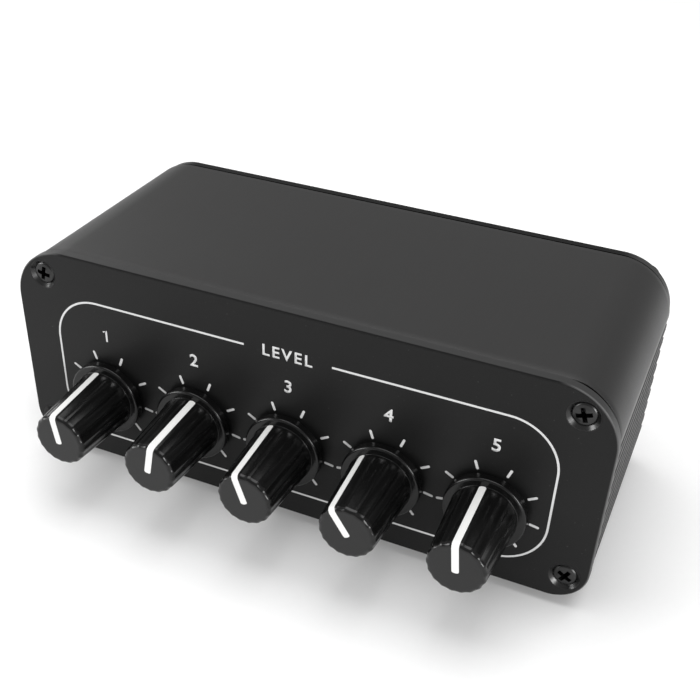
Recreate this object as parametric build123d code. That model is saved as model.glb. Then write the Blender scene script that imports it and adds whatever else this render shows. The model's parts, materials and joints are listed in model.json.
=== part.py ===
from build123d import *
import math
import os

# Desktop audio splitter: one stereo input shared out to five stereo outputs, each with its own level knob.
# Millimetres. X runs to the right as one faces the knobs, Y runs to the rear, Z runs up.
# The origin is on the table, under the middle of the whole object.

# Case
case_width = 120.0
case_height = 45.8
case_depth = 53.0
top_corner_radius = 11.5
bottom_corner_radius = 7.2
panel_thickness = 2.0
panel_edge_chamfer = 0.3
tube_inset = 0.2
tube_wall = 2.0
corner_relief_depth = 0.5
corner_relief_width = 0.6
groove_count = 9
groove_radius = 1.0
groove_depth = 0.5
rear_panel_inset = 0.5

# Feet
foot_height = 2.0
foot_radius = 5.0
foot_draft = 0.5
foot_inset_x = 13.0
foot_inset_y = 10.0

# Case screws and the channels in the tube that they cut their thread in
top_screw_inset = 6.6
top_screw_drop = 5.2
bottom_screw_inset = 4.3
bottom_screw_rise = 5.4
sink_radius = 2.95
screw_hole_radius = 1.6
screw_shank_radius = 1.2
screw_reach = 8.0
screw_seat_gap = 0.04
head_radius = 2.35
head_dome = 0.3
dome_middle_share = 0.75
recess_length = 2.7
recess_width = 0.75
recess_depth = 1.1
channel_radius = 2.6
channel_bore_radius = 1.3
channel_slot = 1.4

# Circuit board and the rails that hold its edges
board_thickness = 1.6
board_edge_gap = 0.4
board_end_gap = 0.5
rail_depth = 2.0
rail_thickness = 1.2
rail_gap = 0.1
lead_hole_gap = 0.2
lead_below_board = 1.2

# Controls: five knobs in a row, each on a two-gang potentiometer
channel_count = 5
knob_side_margin = 20.0
knob_height = 16.5
dial_half_travel = 140.0
rest_angles = [-9.0, 10.0, -20.0, -34.0, -6.0]

# Potentiometer
pot_width = 9.8
pot_height = 12.0
pot_axis_height = 6.5
pot_depth = 12.5
pot_wall = 0.9
pot_plate_thickness = 0.8
pot_cavity_radius = 4.2
rotor_radius = 3.8
rotor_disc_thickness = 1.6
rotor_core_radius = 1.6
rotor_end_gap = 0.4
bushing_radius = 3.5
bushing_length = 5.2
bushing_hole_gap = 0.1
shaft_radius = 3.0
shaft_running_gap = 0.05
shaft_length = 15.0
knurl_length = 7.0
knurl_depth = 0.25
knurl_teeth = 18
split_width = 1.0
split_depth = 6.0
pot_lead_width = 0.8
pot_lead_thickness = 0.5
pot_lead_pitch = 2.5
pot_lead_row_gap = 5.0
pot_lead_setback = 4.5
nut_across_flats = 10.0
nut_thickness = 2.0
washer_radius = 5.5
washer_thickness = 0.5

# Knob
knob_gap = 0.8
knob_length = 17.4
skirt_radius = 7.8
skirt_thickness = 2.0
skirt_chamfer = 0.4
knob_base_radius = 6.3
knob_top_radius = 5.4
knob_edge_chamfer = 0.4
nut_recess_radius = 5.95
nut_recess_depth = 2.1
tip_recess_radius = 4.2
tip_recess_depth = 3.1
knob_bore_gap = 0.05
knob_bore_spare = 0.5
flute_count = 18
flute_radius = 0.65
flute_depth = 0.4
flute_start = 1.2
pointer_width = 1.5
pointer_past_centre = 0.7
pointer_start = 0.3
pointer_inlay = 0.6
pointer_raise = 0.1

# Print on the front panel
print_thickness = 0.05
print_line = 0.4
frame_side_margin = 8.8
frame_bottom_margin = 5.5
frame_top_margin = 8.9
frame_corner_radius = 9.7
legend_gap = 17.8
tick_gap = 0.15
tick_inner_share = 0.8
tick_count = 8

# Phono sockets: six stereo blocks, left above right, five out and one in
block_count = 6
block_side_margin = 17.5
block_gap = 2.6
block_depth = 12.0
block_height_share = 0.81
socket_height_shares = [0.27, 0.77]
shell_radius = 4.15
shell_wall = 0.6
shell_reach = 9.5
shell_root = 4.5
shell_root_radius = 3.9
shell_step_out = 0.2
socket_fit_gap = 0.05
socket_hole_gap = 0.3
insulator_setback = 0.4
contact_bore_radius = 1.6
contact_wall = 0.4
contact_length = 13.5
contact_setback = 1.4
block_lead_width = 1.0
block_lead_thickness = 0.5
block_lead_margin = 2.5
block_lead_setback = 3.5
block_lead_row_gap = 5.0

# Power jack
jack_side_margin = 10.5
jack_to_block = 14.0
jack_width = 9.0
jack_depth = 13.0
jack_height = 11.0
jack_axis_height = 6.5
jack_snout_radius = 4.0
jack_bore_radius = 3.15
jack_bore_depth = 10.0
jack_pin_radius = 1.0
jack_pin_length = 8.5
jack_hole_gap = 0.1

# Parts on the board: behind the potentiometers stand a row of chips, a row of cans and a row of resistors
chip_depth = 6.4
chip_width = 9.6
chip_height = 3.4
can_radius = 2.5
signal_can_height = 7.0
signal_can_spread = 3.4
supply_can_height = 11.0
converter_width = 6.0
converter_length = 16.0
converter_height = 10.0
converter_gap = 2.0
resistor_width = 2.0
resistor_depth = 1.25
resistor_height = 0.5
resistor_spread = 2.4

# How far every cutting shape runs past what it cuts
cut_overrun = 1.0

# Places that follow from the sizes above
knob_reach = knob_gap + knob_length + pointer_raise
front_y = knob_reach - (knob_reach + case_depth + shell_reach) / 2
rear_y = front_y + case_depth
tube_front_y = front_y + panel_thickness
tube_rear_y = rear_y - panel_thickness
case_top = foot_height + case_height
tube_inner_x = case_width / 2 - tube_inset - tube_wall
tube_inner_top = case_top - tube_inset - tube_wall
flank_low = foot_height + bottom_corner_radius
flank_high = case_top - top_corner_radius
knob_pitch = (case_width - knob_side_margin * 2) / (channel_count - 1)
knob_x = [(n - (channel_count - 1) / 2) * knob_pitch for n in range(channel_count)]
knob_z = foot_height + knob_height
tick_outer_radius = knob_pitch / 2 - tick_gap
tick_inner_radius = tick_outer_radius * tick_inner_share
nut_corner_radius = nut_across_flats / math.sqrt(3)
board_top = knob_z - pot_axis_height
board_bottom = board_top - board_thickness
jack_x = jack_side_margin - case_width / 2
jack_z = board_top + jack_axis_height
jack_front_y = tube_rear_y - jack_depth
last_block_x = case_width / 2 - block_side_margin
block_pitch = (last_block_x - jack_x - jack_to_block) / (block_count - 1)
block_x = [last_block_x - n * block_pitch for n in range(block_count)]
block_width = block_pitch - block_gap
block_height = (tube_inner_top - board_top) * block_height_share
block_z = [board_top + block_height * share for share in socket_height_shares]
block_front_y = tube_rear_y - block_depth
screw_places = []
for side in (-1, 1):
    screw_places.append((side * (case_width / 2 - top_screw_inset), case_top - top_screw_drop))
    screw_places.append((side * (case_width / 2 - bottom_screw_inset), foot_height + bottom_screw_rise))


def along_y(sketch, start_y, end_y):
    """A prism of a sketch in X and Z, from start_y back to end_y."""
    return Pos(0, end_y, 0) * extrude(Plane.XZ * sketch, end_y - start_y)


def rod(radius, x, z, start_y, end_y):
    """A round bar along Y."""
    return along_y(Pos(x, z) * Circle(radius), start_y, end_y)


def block(x, z_low, y_low, width, depth, height):
    """A box centred on x, standing on z_low, reaching back from y_low."""
    return Pos(x, y_low + depth / 2, z_low + height / 2) * Box(width, depth, height)


def turned(points):
    """A solid turned about the Y axis, from its outline as radius and y."""
    return revolve(make_face(Polyline(*points, close=True)), Axis.Y)


def save(node, solids):
    """Writes one node's file from its solids."""
    export_step(Compound(children=list(solids)), os.path.join("parts", node + ".step"))


def case_section(inset):
    """The case's cross-section, drawn in by inset all round."""
    outline = Rectangle(case_width - inset * 2, case_height - inset * 2)
    outline = fillet(outline.vertices().group_by(Axis.Y)[-1], top_corner_radius - inset)
    outline = fillet(outline.vertices().group_by(Axis.Y)[0], bottom_corner_radius - inset)
    return Pos(0, foot_height + case_height / 2) * outline


def extruded_case():
    """The tube: ribbed flanks, a channel for each screw and a pair of rails for each board edge."""
    outer = case_section(tube_inset)
    profile = outer - case_section(tube_inset + tube_wall)
    for x, z in screw_places:
        profile += Pos(x, z) * Circle(channel_radius)
    rail_offset = board_thickness / 2 + rail_gap + rail_thickness / 2
    rail_root = tube_wall / 2
    for side in (-1, 1):
        for level in (-1, 1):
            rail_z = board_bottom + board_thickness / 2 + level * rail_offset
            rail = Rectangle(rail_depth + rail_root, rail_thickness)
            profile += Pos(side * (tube_inner_x + (rail_root - rail_depth) / 2), rail_z) * rail
    for x, z in screw_places:
        profile -= Pos(x, z) * Circle(channel_bore_radius)
        inward = math.degrees(math.atan2(foot_height + case_height / 2 - z, -x))
        slot = Pos(channel_radius, 0) * Rectangle(channel_radius * 2, channel_slot)
        profile -= Pos(x, z) * Rot(0, 0, inward) * slot
    groove_x = case_width / 2 - tube_inset + groove_radius - groove_depth
    groove_pitch = (flank_high - flank_low) / (groove_count - 1)
    for side in (-1, 1):
        for n in range(groove_count):
            profile -= Pos(side * groove_x, flank_low + n * groove_pitch) * Circle(groove_radius)
    tube = along_y(profile, tube_front_y, tube_rear_y)
    skin = outer - case_section(tube_inset + corner_relief_depth)
    for side in (-1, 1):
        corner = Rectangle(top_corner_radius, top_corner_radius)
        corner_x = side * (case_width / 2 - top_corner_radius / 2)
        arc = skin & (Pos(corner_x, case_top - top_corner_radius / 2) * corner)
        tube -= along_y(arc, tube_front_y, tube_front_y + corner_relief_width)
        tube -= along_y(arc, tube_rear_y - corner_relief_width, tube_rear_y)
    return tube


def panel(inset, face_y, inward, holes):
    """An end panel with countersunk corner holes and round holes at (x, z, radius). inward is 1 towards +Y."""
    inner_y = face_y + inward * panel_thickness
    low_y = min(face_y, inner_y)
    high_y = max(face_y, inner_y)
    plate = along_y(case_section(inset), low_y, high_y)
    outside = plate.faces().sort_by(Axis.Y)[0 if inward > 0 else -1]
    plate = chamfer(outside.outer_wire().edges(), panel_edge_chamfer)
    sink = turned(
        [
            (0, 0),
            (sink_radius, 0),
            (screw_hole_radius, inward * (sink_radius - screw_hole_radius)),
            (screw_hole_radius, inward * (panel_thickness + cut_overrun)),
            (0, inward * (panel_thickness + cut_overrun)),
        ]
    )
    for x, z in screw_places:
        plate -= Pos(x, face_y, z) * sink
    for x, z, radius in holes:
        plate -= rod(radius, x, z, low_y - cut_overrun, high_y + cut_overrun)
    return plate


def case_screw(inward):
    """A countersunk screw with a domed head and a cross recess, its panel's face at y 0. inward is as in panel."""
    head_depth = sink_radius - head_radius
    neck_depth = sink_radius - screw_seat_gap - screw_shank_radius
    rim_radius = head_radius - screw_seat_gap
    screw = turned(
        [
            (0, inward * (head_depth - head_dome)),
            (rim_radius / 2, inward * (head_depth - head_dome * dome_middle_share)),
            (rim_radius, inward * head_depth),
            (screw_shank_radius, inward * neck_depth),
            (screw_shank_radius, inward * (screw_reach - screw_shank_radius)),
            (0, inward * screw_reach),
        ]
    )
    for angle in (45, 135):
        arm = Box(recess_length, recess_depth * 2, recess_width)
        screw -= Pos(0, inward * (head_depth - head_dome), 0) * Rot(0, angle, 0) * arm
    return screw


def rubber_feet():
    """Four round rubber feet stuck under the tube, each narrowing a little towards the table."""
    seat_z = foot_height + tube_inset
    outline = [(0, 0), (foot_radius - foot_draft, 0), (foot_radius, seat_z), (0, seat_z)]
    foot = revolve(make_face(Plane.XZ * Polyline(*outline, close=True)), Axis.Z)
    placed = []
    for side in (-1, 1):
        for y in (front_y + foot_inset_y, rear_y - foot_inset_y):
            placed.append(Pos(side * (case_width / 2 - foot_inset_x), y, 0) * foot)
    return placed


def pot_leads():
    """One potentiometer's leads, as offsets in x from its axis and in y from the panel's inner face."""
    rows = [pot_plate_thickness + pot_lead_setback, pot_plate_thickness + pot_lead_setback + pot_lead_row_gap]
    return [(n * pot_lead_pitch, row) for row in rows for n in (-1, 0, 1)]


def socket_leads():
    """One socket block's leads, as offsets in x from its middle and in y from its front."""
    rows = [block_lead_setback, block_lead_setback + block_lead_row_gap]
    spread = block_width / 2 - block_lead_margin
    return [(side * spread, row) for row in rows for side in (-1, 1)]


def jack_leads():
    """The power jack's leads, as offsets in x from its middle and in y from its front."""
    rows = [block_lead_setback, block_lead_setback + block_lead_row_gap]
    return [(0, row) for row in rows]


def all_leads():
    """Every lead through the board, as (x, y, width, thickness)."""
    found = []
    for x in knob_x:
        for dx, dy in pot_leads():
            found.append((x + dx, tube_front_y + dy, pot_lead_width, pot_lead_thickness))
    for x in block_x:
        for dx, dy in socket_leads():
            found.append((x + dx, block_front_y + dy, block_lead_width, block_lead_thickness))
    for dx, dy in jack_leads():
        found.append((jack_x + dx, jack_front_y + dy, block_lead_width, block_lead_thickness))
    return found


def circuit_board():
    """The board, its edges in the rails, drilled for every lead."""
    width = (tube_inner_x - board_edge_gap) * 2
    depth = tube_rear_y - tube_front_y - board_end_gap * 2
    outline = Pos(0, tube_front_y + board_end_gap + depth / 2) * Rectangle(width, depth)
    for x, y, lead_width, _ in all_leads():
        outline -= Pos(x, y) * Circle(lead_width / 2 + lead_hole_gap)
    return Pos(0, 0, board_bottom) * extrude(outline, board_thickness)


def leads(places):
    """Solid leads from the board's top face down through it."""
    height = board_thickness + lead_below_board
    low = board_bottom - lead_below_board
    return [block(x, low, y - thick / 2, width, thick, height) for x, y, width, thick in places]


def pot_housing(x):
    """The potentiometer's moulded body, hollow round its rotor."""
    start_y = tube_front_y + pot_plate_thickness
    shell = block(x, board_top, start_y, pot_width, pot_depth, pot_height)
    return shell - rod(pot_cavity_radius, x, knob_z, start_y, start_y + pot_depth - pot_wall)


def pot_bushing(x):
    """The potentiometer's metal front plate and threaded bushing."""
    plate = block(x, board_top, tube_front_y, pot_width, pot_plate_thickness, pot_height)
    neck = rod(bushing_radius, x, knob_z, tube_front_y - bushing_length, tube_front_y)
    bore_end = tube_front_y + pot_plate_thickness
    bore = rod(shaft_radius + shaft_running_gap, x, knob_z, tube_front_y - bushing_length, bore_end)
    return plate + neck - bore


def pot_shaft():
    """The knurled, split shaft with its two rotor discs, on the Y axis, the bushing's seat at y 0."""
    rotor_end = pot_plate_thickness + pot_depth - pot_wall - rotor_end_gap
    knurl_end = knurl_length - shaft_length
    shaft = rod(shaft_radius, 0, 0, knurl_end, pot_plate_thickness + rotor_end_gap)
    shaft += rod(rotor_core_radius, 0, 0, 0, rotor_end)
    disc_start = pot_plate_thickness + rotor_end_gap
    for start in (disc_start, rotor_end - rotor_disc_thickness):
        shaft += rod(rotor_radius, 0, 0, start, start + rotor_disc_thickness)
    teeth = []
    for n in range(knurl_teeth * 2):
        radius = shaft_radius - knurl_depth * (n % 2)
        angle = math.pi * n / knurl_teeth
        teeth.append((radius * math.cos(angle), radius * math.sin(angle)))
    shaft += along_y(make_face(Polyline(*teeth, close=True)), -shaft_length, knurl_end)
    split = block(0, -shaft_radius, -shaft_length, split_width, split_depth, shaft_radius * 2)
    return shaft - split


def pot_nut(x):
    """The hexagon nut on a bushing, in front of its washer."""
    outline = RegularPolygon(nut_corner_radius, 6) - Circle(bushing_radius + socket_fit_gap)
    start_y = front_y - washer_thickness - nut_thickness
    return along_y(Pos(x, knob_z) * outline, start_y, start_y + nut_thickness)


def pot_washer(x):
    """The washer between a nut and the front panel."""
    outline = Circle(washer_radius) - Circle(bushing_radius + bushing_hole_gap)
    return along_y(Pos(x, knob_z) * outline, front_y - washer_thickness, front_y)


def knob_form(grow):
    """The knob's turned outer form on the Y axis, its back at y 0, grown by grow in front of the skirt."""
    base = knob_base_radius + grow
    top = knob_top_radius + grow
    front = -knob_length - grow
    return turned(
        [
            (0, 0),
            (skirt_radius - skirt_chamfer, 0),
            (skirt_radius, -skirt_chamfer),
            (skirt_radius, skirt_chamfer - skirt_thickness),
            (skirt_radius - skirt_chamfer, -skirt_thickness),
            (base, -skirt_thickness),
            (top, front + knob_edge_chamfer),
            (top - knob_edge_chamfer, front),
            (0, front),
        ]
    )


def knob_pointer():
    """The white line inlaid up the knob's side and across its face to the middle, pointing up."""
    reach = knob_base_radius + pointer_raise + cut_overrun + pointer_past_centre
    start_y = -knob_length - pointer_raise - cut_overrun
    depth = -skirt_thickness - pointer_start - start_y
    strip = block(0, -pointer_past_centre, start_y, pointer_width, depth, reach)
    return (knob_form(pointer_raise) - knob_form(-pointer_inlay)) & strip


def knob_body(pointer):
    """The fluted knob with its skirt, nut recess, shaft bore and the pocket for its pointer."""
    side_run = knob_length - skirt_thickness
    taper = math.degrees(math.atan2(knob_base_radius - knob_top_radius, side_run))
    start_y = -skirt_thickness - flute_start
    start_radius = knob_base_radius - flute_start * (knob_base_radius - knob_top_radius) / side_run
    cutter = rod(flute_radius, 0, 0, -side_run, 0) + Sphere(flute_radius)
    cutter = Pos(0, start_y, start_radius + flute_radius - flute_depth) * Rot(-taper, 0, 0) * cutter
    body = knob_form(0)
    for n in range(1, flute_count):
        body -= Rot(0, 360 * n / flute_count, 0) * cutter
    body -= rod(nut_recess_radius, 0, 0, -nut_recess_depth, cut_overrun)
    body -= rod(tip_recess_radius, 0, 0, -tip_recess_depth, 0)
    bore_depth = shaft_length - panel_thickness - knob_gap + knob_bore_spare
    body -= rod(shaft_radius + knob_bore_gap, 0, 0, -bore_depth, 0)
    return body - pointer


def scale_print():
    """The thin printed frame round the knobs, broken for its legend, and each knob's ring of ticks."""
    width = case_width - frame_side_margin * 2
    height = case_height - frame_bottom_margin - frame_top_margin
    half_line = print_line / 2
    outer = RectangleRounded(width + print_line, height + print_line, frame_corner_radius + half_line)
    inner = RectangleRounded(width - print_line, height - print_line, frame_corner_radius - half_line)
    middle_z = foot_height + frame_bottom_margin + height / 2
    line = Pos(0, middle_z) * (outer - inner)
    line -= Pos(0, middle_z + height / 2) * Rectangle(legend_gap, print_line + cut_overrun)
    marks = [along_y(line, front_y - print_thickness, front_y)]
    tick = Rectangle(print_line, tick_outer_radius - tick_inner_radius)
    tick = Pos(0, (tick_inner_radius + tick_outer_radius) / 2) * tick
    for x in knob_x:
        for n in range(tick_count):
            angle = dial_half_travel - dial_half_travel * 2 * n / (tick_count - 1)
            place = Pos(x, knob_z) * Rot(0, 0, angle)
            marks.append(along_y(place * tick, front_y - print_thickness, front_y))
    return marks


def socket_housing(x):
    """The moulded block that carries one left and one right socket."""
    body = block(x, board_top, block_front_y, block_width, block_depth, block_height)
    for z in block_z:
        body -= rod(shell_root_radius + socket_fit_gap, x, z, tube_rear_y - shell_root, tube_rear_y)
    return body


def socket_shell(x, z):
    """The metal collar of one socket, narrower where it goes through the panel into its block."""
    step_y = rear_y + shell_step_out
    shell = rod(shell_radius, x, z, step_y, rear_y + shell_reach)
    shell += rod(shell_root_radius, x, z, tube_rear_y - shell_root, step_y)
    return shell - rod(shell_radius - shell_wall, x, z, tube_rear_y - shell_root, rear_y + shell_reach)


def socket_insulator(x, z):
    """The coloured plastic core of one socket, with the seat of its centre contact."""
    radius = shell_radius - shell_wall - socket_fit_gap
    end_y = rear_y + shell_reach - insulator_setback
    core = rod(radius, x, z, tube_rear_y - shell_root, end_y)
    core -= rod(contact_bore_radius, x, z, end_y - contact_setback, end_y)
    contact_end = end_y - contact_setback
    seat_radius = contact_bore_radius + contact_wall + socket_fit_gap
    return core - rod(seat_radius, x, z, contact_end - contact_length, contact_end)


def socket_contact(x, z):
    """The sprung tube that grips a plug's centre pin."""
    end_y = rear_y + shell_reach - insulator_setback - contact_setback
    ring = Circle(contact_bore_radius + contact_wall) - Circle(contact_bore_radius)
    return along_y(Pos(x, z) * ring, end_y - contact_length, end_y)


def jack_housing():
    """The power jack's body with its round snout through the rear panel."""
    body = block(jack_x, board_top, jack_front_y, jack_width, jack_depth, jack_height)
    body += rod(jack_snout_radius, jack_x, jack_z, tube_rear_y - jack_snout_radius, rear_y)
    body -= rod(jack_bore_radius, jack_x, jack_z, rear_y - jack_bore_depth, rear_y)
    return body - rod(jack_pin_radius, jack_x, jack_z, jack_front_y, rear_y)


def jack_pin():
    """The centre pin in the power jack, held in the back of its body."""
    return rod(jack_pin_radius, jack_x, jack_z, jack_front_y, rear_y - jack_bore_depth + jack_pin_length)


def can(height, x, y):
    """An electrolytic capacitor standing on the board."""
    return Pos(x, y, board_top + height / 2) * Cylinder(can_radius, height)


os.makedirs("parts", exist_ok=True)

save("extruded_case", [extruded_case()])
shaft_holes = [(x, knob_z, bushing_radius + bushing_hole_gap) for x in knob_x]
save("front_panel", [panel(0, front_y, 1, shaft_holes)])
socket_holes = [(x, z, shell_radius + socket_hole_gap) for x in block_x for z in block_z]
jack_hole = [(jack_x, jack_z, jack_snout_radius + jack_hole_gap)]
save("rear_panel", [panel(rear_panel_inset, rear_y, -1, socket_holes + jack_hole)])
save("front_panel_screws", [Pos(x, front_y, z) * case_screw(1) for x, z in screw_places])
save("rear_panel_screws", [Pos(x, rear_y, z) * case_screw(-1) for x, z in screw_places])
save("rubber_feet", rubber_feet())
save("scale_print", scale_print())
save("circuit_board", [circuit_board()])

pot_places = []
for x in knob_x:
    for dx, dy in pot_leads():
        pot_places.append((x + dx, tube_front_y + dy, pot_lead_width, pot_lead_thickness))
save("pot_leads", leads(pot_places))
save("socket_leads", leads([place for place in all_leads() if place not in pot_places]))
save("pot_nuts", [pot_nut(x) for x in knob_x])
save("pot_washers", [pot_washer(x) for x in knob_x])

shaft = pot_shaft()
pointer = knob_pointer()
knob = knob_body(pointer)
for n, x in enumerate(knob_x):
    name = str(n + 1)
    turn = Rot(0, rest_angles[n], 0)
    save("pot_" + name + "_housing", [pot_housing(x)])
    save("pot_" + name + "_bushing", [pot_bushing(x)])
    save("shaft_" + name, [Pos(x, tube_front_y, knob_z) * turn * shaft])
    save("knob_" + name, [Pos(x, front_y - knob_gap, knob_z) * turn * knob])
    save("pointer_" + name, [Pos(x, front_y - knob_gap, knob_z) * turn * pointer])

for n, x in enumerate(block_x):
    name = "input" if n == 0 else "output_" + str(n)
    save(name + "_socket_housing", [socket_housing(x)])
    save(name + "_socket_shells", [socket_shell(x, z) for z in block_z])
save("red_insulators", [socket_insulator(x, block_z[0]) for x in block_x])
save("white_insulators", [socket_insulator(x, block_z[1]) for x in block_x])
save("socket_contacts", [socket_contact(x, z) for x in block_x for z in block_z])
save("power_jack_housing", [jack_housing()])
save("power_jack_pin", [jack_pin()])

converter_y = jack_front_y - converter_gap - converter_length
converter = block(jack_x, board_top, converter_y, converter_width, converter_length, converter_height)
save("power_converter", [converter])

rows_start = tube_front_y + pot_plate_thickness + pot_depth
row_gap = (block_front_y - rows_start - chip_depth - can_radius * 2 - resistor_depth) / 4
chip_y = rows_start + row_gap
can_y = chip_y + chip_depth + row_gap + can_radius
resistor_y = can_y + can_radius + row_gap
chips = []
signal_cans = []
resistors = []
for x in knob_x:
    chips.append(block(x, board_top, chip_y, chip_width, chip_depth, chip_height))
    for side in (-1, 1):
        signal_cans.append(can(signal_can_height, x + side * signal_can_spread, can_y))
        chip_x = x + side * resistor_spread
        resistors.append(block(chip_x, board_top, resistor_y, resistor_width, resistor_depth, resistor_height))
save("amplifier_chips", chips)
save("signal_capacitors", signal_cans)
save("chip_resistors", resistors)
supply_x = [knob_x[0] + knob_pitch / 2, knob_x[1] + knob_pitch / 2]
save("supply_capacitors", [can(supply_can_height, x, chip_y + chip_depth / 2) for x in supply_x])
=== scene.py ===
import json
import math
import bmesh
import bpy
from mathutils import Matrix, Vector


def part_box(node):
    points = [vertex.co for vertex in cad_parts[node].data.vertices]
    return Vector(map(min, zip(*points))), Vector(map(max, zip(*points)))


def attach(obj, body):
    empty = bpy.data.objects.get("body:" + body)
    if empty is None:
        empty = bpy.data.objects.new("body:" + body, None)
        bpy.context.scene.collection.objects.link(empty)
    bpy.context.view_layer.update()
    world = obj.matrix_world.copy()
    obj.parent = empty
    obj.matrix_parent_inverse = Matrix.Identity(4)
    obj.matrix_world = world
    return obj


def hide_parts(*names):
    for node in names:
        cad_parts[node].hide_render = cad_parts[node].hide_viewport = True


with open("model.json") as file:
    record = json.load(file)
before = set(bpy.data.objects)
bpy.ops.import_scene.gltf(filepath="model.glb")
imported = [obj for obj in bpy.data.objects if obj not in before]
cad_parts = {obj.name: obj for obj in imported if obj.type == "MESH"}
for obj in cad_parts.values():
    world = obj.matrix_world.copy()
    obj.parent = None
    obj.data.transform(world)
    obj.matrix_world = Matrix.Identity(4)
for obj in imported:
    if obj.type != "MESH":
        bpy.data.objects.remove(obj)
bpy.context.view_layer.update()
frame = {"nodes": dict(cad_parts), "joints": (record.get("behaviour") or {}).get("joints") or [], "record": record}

# Desktop audio splitter, dressed for looks round its solids. Metres, in the solids' own frame.
# X runs to the right as one faces the knobs, Y runs to the rear, Z runs up.
MM = 0.001


def in_mm(table):
    """A table of places typed in millimetres, in metres."""
    return [tuple(value * MM for value in row) for row in table]


# Meshes
MERGE_DISTANCE = 0.001 * MM
ROUND_SIDES = 64
FINE_SIDES = 72
SMALL_SIDES = 40

# Case
TOP_CORNER = 11.5 * MM
BOTTOM_CORNER = 7.2 * MM
ARC_STEPS = 30
PANEL_BEVEL = 0.34 * MM
PANEL_SOFT = 0.04 * MM
REAR_INSET = 0.5 * MM
TUBE_INSET = 0.2 * MM
TUBE_WALL = 2.0 * MM
TUBE_BEVEL = 0.12 * MM
TUBE_FLAT_STEP = 0.14 * MM
TOP_STEP_RATIO = 20
FLANK_REACH = 0.4 * MM
GROOVE_COUNT = 9
GROOVE_MARGIN = 0.9 * MM
GROOVE_RADIUS = 1.0 * MM
GROOVE_DEPTH = 0.5 * MM
GAP_LENGTH = 0.9 * MM
GAP_DEPTH = 1.1 * MM
GAP_UNDERCUT = 2.25 * MM
BUSHING_HOLE = 3.6 * MM
COLLAR_HOLE = 4.45 * MM
JACK_HOLE = 4.1 * MM
HOLE_EDGE = 0.08 * MM
HOLE_SIDES = 48

# Screws and feet
TOP_SCREW_INSET = 6.6 * MM
TOP_SCREW_DROP = 5.2 * MM
BOTTOM_SCREW_INSET = 4.3 * MM
BOTTOM_SCREW_RISE = 5.4 * MM
SINK_RADIUS = 2.95 * MM
SINK_EDGE = 0.06 * MM
SCREW_HOLE = 1.6 * MM
SHANK_RADIUS = 1.2 * MM
SHANK_START = 1.9 * MM
SHANK_END = 6.8 * MM
SCREW_LENGTH = 8.0 * MM
SCREW_POINT = 0.2 * MM
SCREW_TURNS = {"front": (12.0, 40.0, -18.0, 31.0), "rear": (50.0, 8.0, 23.0, -30.0)}
SCREW_HEAD = in_mm([(0, 0.16, 0), (1.1, 0.20, 0.6), (1.95, 0.42, 0.4), (2.24, 0.64, 0.1), (2.20, 0.74, 0.05)])
CROSS_RECESS = in_mm([(-0.5, 1.62, 0.46), (0.62, 1.32, 0.38), (1.75, 0.55, 0.26)])
LINING_GAP = 0.03 * MM
LINING_LIP = 0.02 * MM
LINING_DEPTH = 0.7 * MM
LINING_THICK = 0.07 * MM
FOOT_RADIUS = 5.0 * MM
FOOT_HEIGHT = 2.2 * MM
FOOT_TREAD = in_mm([(0, 0.4, 0), (2.7, 0.4, 0.15), (3.1, 0, 0.15), (4.5, 0, 0.4)])

# Knobs, along their own axis from the back of the skirt
KNOB_LENGTH = 17.4 * MM
SKIRT_RADIUS = 7.8 * MM
SKIRT_BACK_ROUND = 0.35 * MM
SKIRT_ROUND = 0.45 * MM
SKIRT_FRONT = 2.0 * MM
KNOB_BASE = 6.3 * MM
KNOB_TIP = 5.4 * MM
KNOB_ROUND = 0.9 * MM
KNOB_CREASE = 0.1 * MM
KNOB_BORE = 3.05 * MM
BORE_DEPTH = 12.7 * MM
BUSHING_ROOM = 4.2 * MM
BUSHING_ROOM_DEPTH = 3.1 * MM
NUT_ROOM = 5.95 * MM
NUT_ROOM_DEPTH = 2.1 * MM
FLUTE_COUNT = 18
FLUTE_SIDES = 20
FLUTE_START = 2.45 * MM
FLUTE_FULL = 3.2 * MM
# As shares: of a flute's pitch, of the knob's radius, and of the depth that is left at the tip
FLUTE_WIDTH = 0.8
FLUTE_DEPTH = 0.06
FLUTE_FADE = 0.35
POINTER_WIDTH = 1.3 * MM
POINTER_RAISE = 0.1 * MM
POINTER_INLAY = 0.6 * MM
POINTER_PAST_CENTRE = 0.7 * MM
POINTER_START = 0.1 * MM
POINTER_TAIL = 0.35 * MM
POINTER_END = 0.04 * MM

# Print
PRINT_THICK = 0.05 * MM
PRINT_LINE = 0.4 * MM
TICK_WIDTH = 0.5 * MM
PRINT_BOLD = 0.018
FRAME_SIDE = 8.8 * MM
FRAME_BOTTOM = 5.5 * MM
FRAME_TOP = 8.9 * MM
FRAME_CORNER = 9.7 * MM
FRAME_STEPS = 24
LEGEND_GAP = (-9.1 * MM, 8.7 * MM)
LEGEND_HEIGHT = 2.4 * MM
LEGEND_SPACING = 1.25
DIGIT_HEIGHT = 2.7 * MM
DIGIT_RISE = 30.15 * MM
ONE_STROKE = ((-0.18, 0.26), (0.08, 0.43), (0.08, -0.5))
TICK_INNER = 7.88 * MM
TICK_OUTER = 9.85 * MM
TICK_COUNT = 8
DIAL_TRAVEL = 140.0
REAR_MARK_HEIGHT = 2.4 * MM
REAR_NUMBER_RISE = 8.4 * MM
REAR_SIDE_OFFSET = 7.6 * MM
REAR_LINE_REACH = 6.0 * MM

# Sockets
SHELL_RADIUS = 4.15 * MM
SHELL_ROOT = 3.9 * MM
SHELL_INNER = 3.55 * MM
SHELL_STEP = 0.2 * MM
CORE_RADIUS = 3.5 * MM
CONTACT_BORE = 1.6 * MM
CONTACT_OUTER = 2.0 * MM
CONTACT_ROOM = 0.05 * MM

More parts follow.
